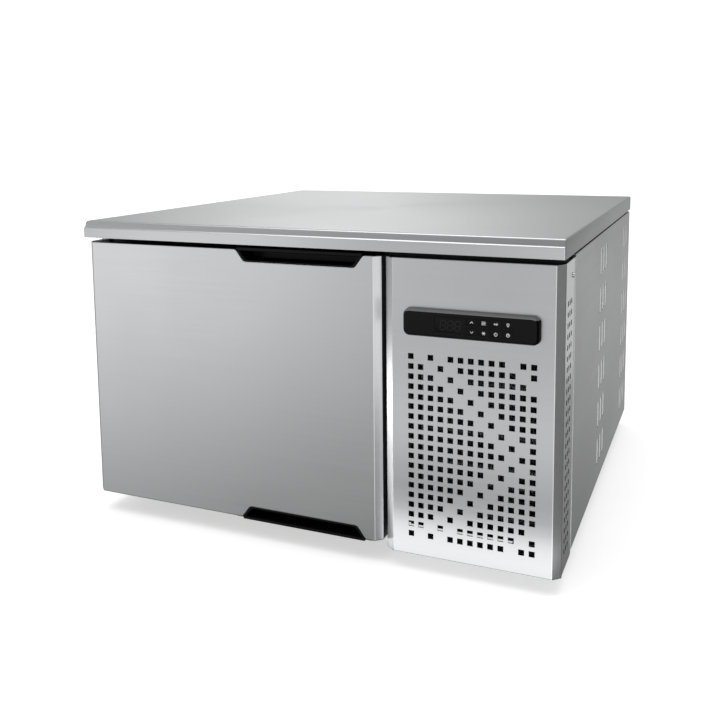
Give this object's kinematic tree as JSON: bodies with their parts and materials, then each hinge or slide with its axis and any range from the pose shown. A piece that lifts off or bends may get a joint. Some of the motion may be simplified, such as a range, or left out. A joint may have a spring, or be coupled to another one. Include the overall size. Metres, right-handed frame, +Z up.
{
  "type": "blast chiller",
  "caption": "Countertop blast chiller: insulated stainless steel cell with a hinged door and finger pulls, beside a punched machine cover with a controller.",
  "frame": {"origin": "centre of the bounding box at the underside of the feet", "axes": "+X to the right seen from the front, +Y from the door to the rear, +Z up"},
  "size_m": [0.75, 0.7524, 0.475],
  "materials": {
    "casing_steel": "satin brushed stainless steel",
    "inner_steel": "satin stainless steel",
    "zinc_plated_steel": "dull zinc plating",
    "black_plastic": "satin moulded black",
    "display_plastic": "glossy dark window",
    "grey_plastic": "matt grey",
    "rubber": "matt black",
    "insulation_foam": "rigid foam, cut face",
    "core_board": "black film-faced board",
    "aluminium": "satin fins",
    "copper": "drawn copper tube",
    "black_paint": "satin black paint"
  },
  "bodies": {
    "cabinet": {"worktop": "casing_steel", "left_side_panel": "casing_steel", "right_side_panel": "casing_steel", "rear_panel": "casing_steel", "front_cover": "casing_steel", "cover_screw": "casing_steel", "upper_hinge_pin": "casing_steel", "lower_hinge_pin": "casing_steel", "front_frame": "inner_steel", "inner_liner": "inner_steel", "evaporator_cover": "inner_steel", "drip_tray": "inner_steel", "left_pan_rack": "inner_steel", "right_pan_rack": "inner_steel", "base_pan": "zinc_plated_steel", "partition_panel": "zinc_plated_steel", "condenser_shroud": "zinc_plated_steel", "compressor_plate": "zinc_plated_steel", "upper_hinge_bracket": "zinc_plated_steel", "lower_hinge_bracket": "zinc_plated_steel", "controller_bezel": "black_plastic", "controller_housing": "black_plastic", "cable_gland": "black_plastic", "controller_lens": "display_plastic", "electrical_box": "grey_plastic", "evaporator_fan_motor": "grey_plastic", "foot_front_left": "rubber", "foot_front_right": "rubber", "foot_rear_left": "rubber", "foot_rear_right": "rubber", "foam_top": "insulation_foam", "foam_bottom": "insulation_foam", "foam_left": "insulation_foam", "foam_right": "insulation_foam", "foam_back": "insulation_foam", "worktop_core": "core_board", "condenser_coil": "aluminium", "evaporator_coil": "aluminium", "discharge_pipe": "copper", "suction_pipe": "copper", "liquid_line_with_drier": "copper", "compressor": "black_paint", "condenser_fan_motor": "black_paint"},
    "door": {"door_skin": "casing_steel", "door_foam": "insulation_foam", "door_liner": "inner_steel", "door_gasket": "rubber", "door_top_cap": "black_plastic", "door_bottom_cap": "black_plastic"},
    "condenser_fan": {"condenser_fan_blade": "aluminium"},
    "evaporator_fan": {"evaporator_fan_blade": "black_plastic"},
    "key_up": {"key_up": "black_plastic"},
    "key_defrost": {"key_defrost": "black_plastic"},
    "key_set": {"key_set": "black_plastic"},
    "key_light": {"key_light": "black_plastic"},
    "key_down": {"key_down": "black_plastic"},
    "key_hard_chill": {"key_hard_chill": "black_plastic"},
    "key_power": {"key_power": "black_plastic"},
    "key_timer": {"key_timer": "black_plastic"}
  },
  "joints": [
    {"name": "door_hinge", "type": "hinge", "parent": "cabinet", "child": "door", "pos_m": [-0.36, -0.33085, 0.237], "axis": [0, 0, -1], "range_deg": [0, 110]},
    {"name": "condenser_fan_spin", "type": "hinge", "parent": "cabinet", "child": "condenser_fan", "pos_m": [0.25125, -0.22185, 0.17965], "axis": [0, 1, 0], "continuous": true},
    {"name": "evaporator_fan_spin", "type": "hinge", "parent": "cabinet", "child": "evaporator_fan", "pos_m": [-0.1255, 0.24015, 0.2365], "axis": [0, 1, 0], "continuous": true},
    {"name": "key_up_press", "type": "slide", "parent": "cabinet", "child": "key_up", "axis": [0, 1, 0], "range_m": [0, 0.0006], "stiffness_N_per_m": 2000},
    {"name": "key_defrost_press", "type": "slide", "parent": "cabinet", "child": "key_defrost", "axis": [0, 1, 0], "range_m": [0, 0.0006], "stiffness_N_per_m": 2000},
    {"name": "key_set_press", "type": "slide", "parent": "cabinet", "child": "key_set", "axis": [0, 1, 0], "range_m": [0, 0.0006], "stiffness_N_per_m": 2000},
    {"name": "key_light_press", "type": "slide", "parent": "cabinet", "child": "key_light", "axis": [0, 1, 0], "range_m": [0, 0.0006], "stiffness_N_per_m": 2000},
    {"name": "key_down_press", "type": "slide", "parent": "cabinet", "child": "key_down", "axis": [0, 1, 0], "range_m": [0, 0.0006], "stiffness_N_per_m": 2000},
    {"name": "key_hard_chill_press", "type": "slide", "parent": "cabinet", "child": "key_hard_chill", "axis": [0, 1, 0], "range_m": [0, 0.0006], "stiffness_N_per_m": 2000},
    {"name": "key_power_press", "type": "slide", "parent": "cabinet", "child": "key_power", "axis": [0, 1, 0], "range_m": [0, 0.0006], "stiffness_N_per_m": 2000},
    {"name": "key_timer_press", "type": "slide", "parent": "cabinet", "child": "key_timer", "axis": [0, 1, 0], "range_m": [0, 0.0006], "stiffness_N_per_m": 2000}
  ]
}
